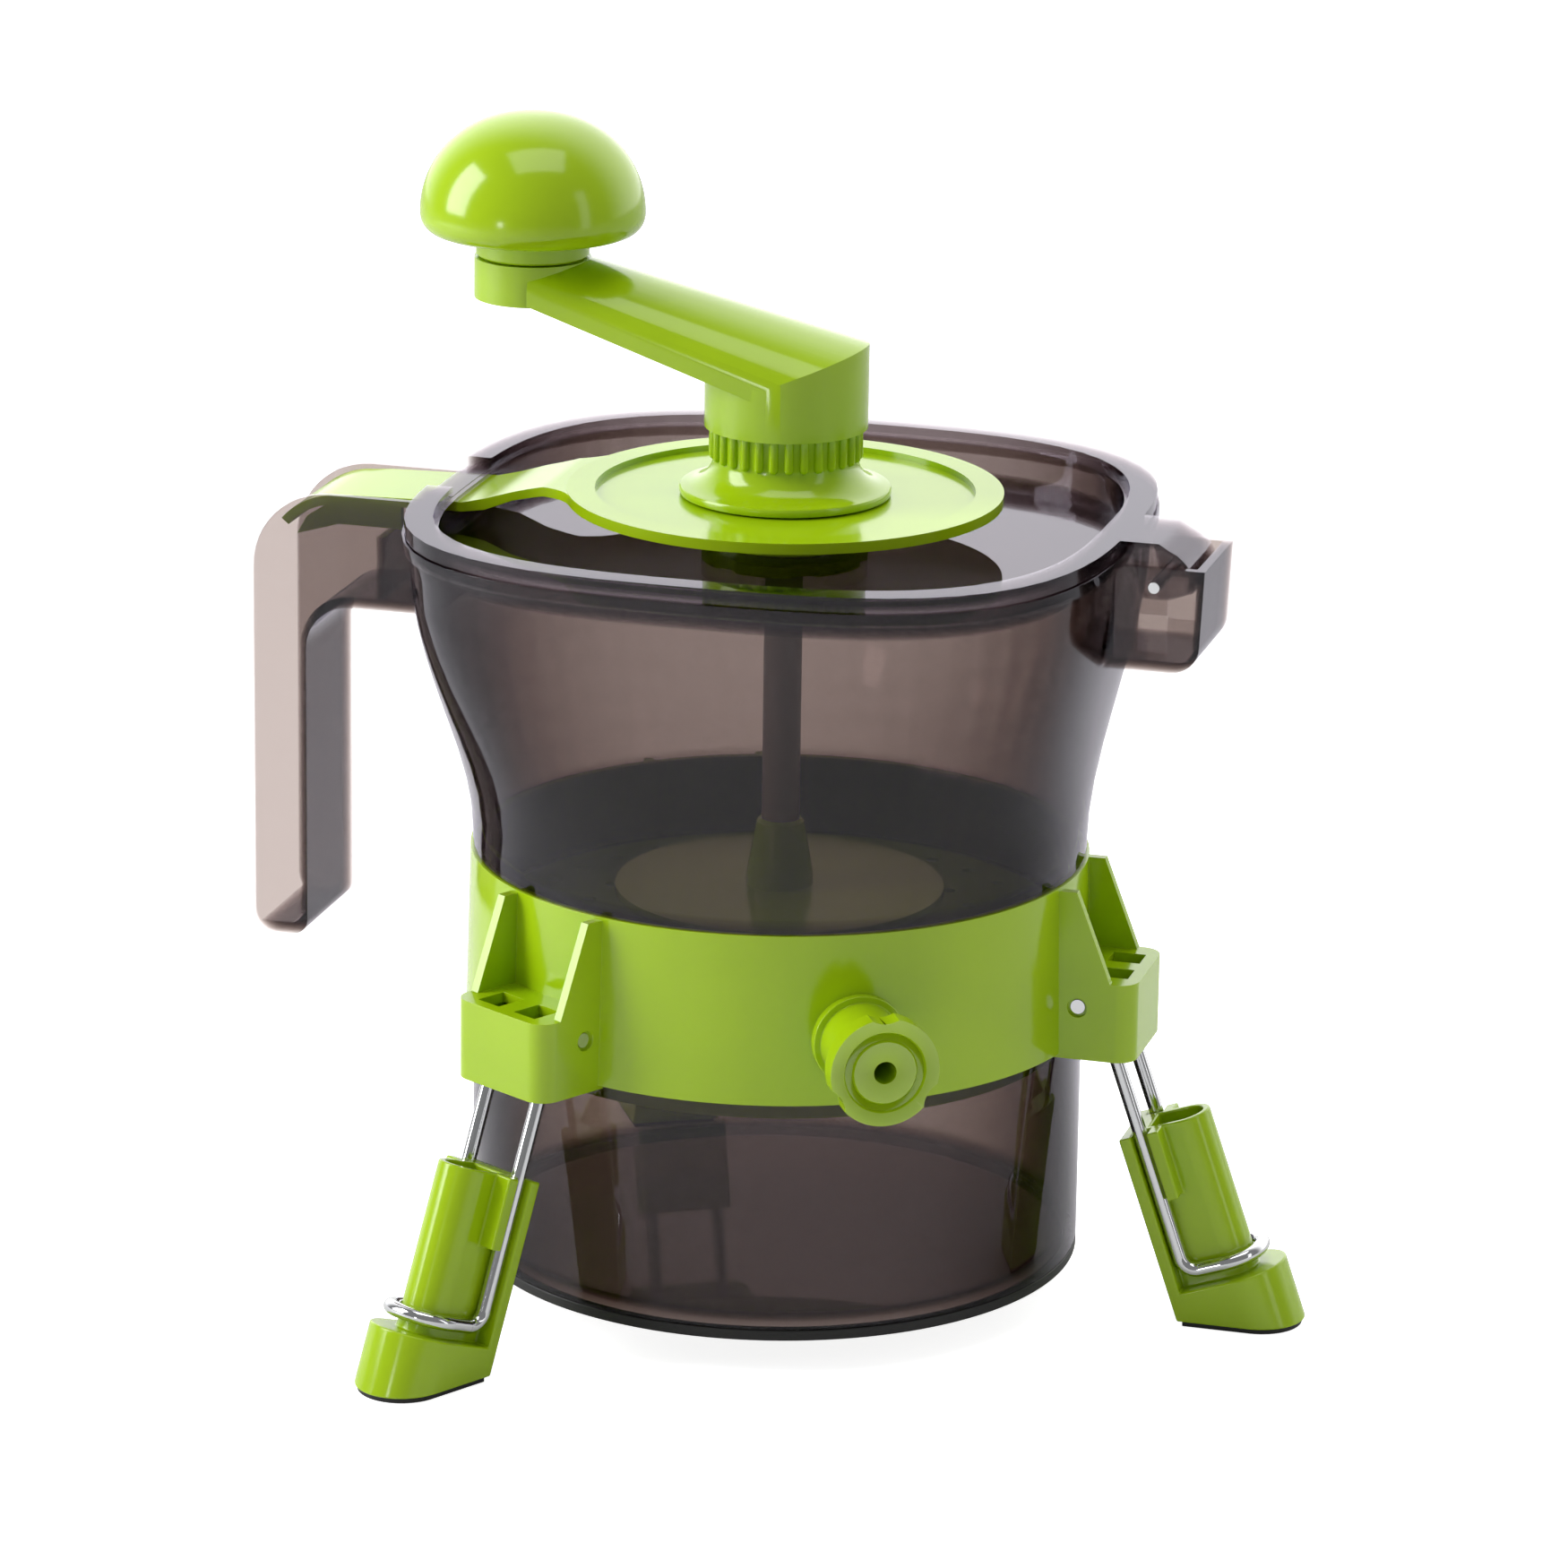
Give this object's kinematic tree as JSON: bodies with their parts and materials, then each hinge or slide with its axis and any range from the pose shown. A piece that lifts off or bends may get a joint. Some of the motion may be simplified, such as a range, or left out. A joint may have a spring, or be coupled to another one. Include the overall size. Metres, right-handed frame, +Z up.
{
  "type": "hand-cranked fruit press",
  "caption": "Tabletop fruit press with a smoked bowl and hinged lid, a top crank with a domed knob, a collar with a side tap, folding wire legs and a twist-off juice cup.",
  "frame": {"origin": "on the floor, on the axis that the bowl, the cup and the crank share", "axes": "+Z up, +X from the axis towards the lid's hinge, so the handle is on -X"},
  "size_m": [0.2625, 0.234, 0.2846],
  "materials": {
    "green_plastic": "polished injection-moulded plastic, lime green",
    "smoked_plastic": "clear smoked injection-moulded plastic, brown-grey",
    "rubber": "matt black rubber",
    "seal_rubber": "soft dark grey sealing ring",
    "chromed_steel": "bright plated steel wire",
    "pale_plastic": "pale moulded plastic"
  },
  "bodies": {
    "base": {"collar": "green_plastic", "bowl": "smoked_plastic", "bowl_seal": "seal_rubber", "handle": "smoked_plastic", "hinge_pocket": "smoked_plastic", "hinge_pin": "chromed_steel", "strainer": "green_plastic", "drain_web": "green_plastic", "tap_body": "green_plastic"},
    "cup": {"cup": "smoked_plastic", "cup_base_ring": "rubber"},
    "lid": {"lid": "smoked_plastic", "latch_disc": "green_plastic", "lid_nut": "green_plastic", "lid_bush": "pale_plastic"},
    "crank": {"crank_arm": "green_plastic", "drive_collar": "green_plastic", "shaft": "pale_plastic", "shaft_screw": "chromed_steel", "press_rotor": "green_plastic", "knob_spindle": "chromed_steel", "knob_washer": "chromed_steel"},
    "knob": {"knob": "green_plastic"},
    "tap": {"tap_knob": "green_plastic"},
    "leg_1": {"leg_wire_1": "chromed_steel"},
    "foot_1": {"foot_1": "green_plastic", "foot_pad_1": "rubber"},
    "leg_2": {"leg_wire_2": "chromed_steel"},
    "foot_2": {"foot_2": "green_plastic", "foot_pad_2": "rubber"},
    "leg_3": {"leg_wire_3": "chromed_steel"},
    "foot_3": {"foot_3": "green_plastic", "foot_pad_3": "rubber"}
  },
  "joints": [
    {"name": "lid_hinge", "type": "hinge", "parent": "base", "child": "lid", "pos_m": [0.094, 0, 0.185], "axis": [0, 1, 0], "range_deg": [0, 75]},
    {"name": "crank_spin", "type": "hinge", "parent": "lid", "child": "crank", "pos_m": [0, 0, 0.2], "axis": [0, 0, 1], "continuous": true},
    {"name": "knob_spin", "type": "hinge", "parent": "crank", "child": "knob", "pos_m": [-0.0635, 0, 0.255], "axis": [0, 0, 1], "continuous": true},
    {"name": "cup_twist", "type": "hinge", "parent": "base", "child": "cup", "pos_m": [0, 0, 0.04], "axis": [0, 0, 1], "range_deg": [0, 20]},
    {"name": "tap_turn", "type": "hinge", "parent": "base", "child": "tap", "pos_m": [0.045, -0.07794, 0.0838], "axis": [0.5, -0.866, 0], "range_deg": [0, 90]},
    {"name": "leg_1_fold", "type": "hinge", "parent": "base", "child": "leg_1", "pos_m": [0.0785, 0, 0.08], "axis": [0, 1, 0], "range_deg": [0, 16]},
    {"name": "foot_1_slide", "type": "slide", "parent": "leg_1", "child": "foot_1", "axis": [0.3305, 0, -0.9438], "range_m": [0, 0.014]},
    {"name": "leg_2_fold", "type": "hinge", "parent": "base", "child": "leg_2", "pos_m": [-0.03925, 0.06798, 0.08], "axis": [-0.866, -0.5, 0], "range_deg": [0, 16]},
    {"name": "foot_2_slide", "type": "slide", "parent": "leg_2", "child": "foot_2", "axis": [-0.1653, 0.2862, -0.9438], "range_m": [0, 0.014]},
    {"name": "leg_3_fold", "type": "hinge", "parent": "base", "child": "leg_3", "pos_m": [-0.03925, -0.06798, 0.08], "axis": [0.866, -0.5, 0], "range_deg": [0, 16]},
    {"name": "foot_3_slide", "type": "slide", "parent": "leg_3", "child": "foot_3", "axis": [-0.1653, -0.2862, -0.9438], "range_m": [0, 0.014]}
  ]
}
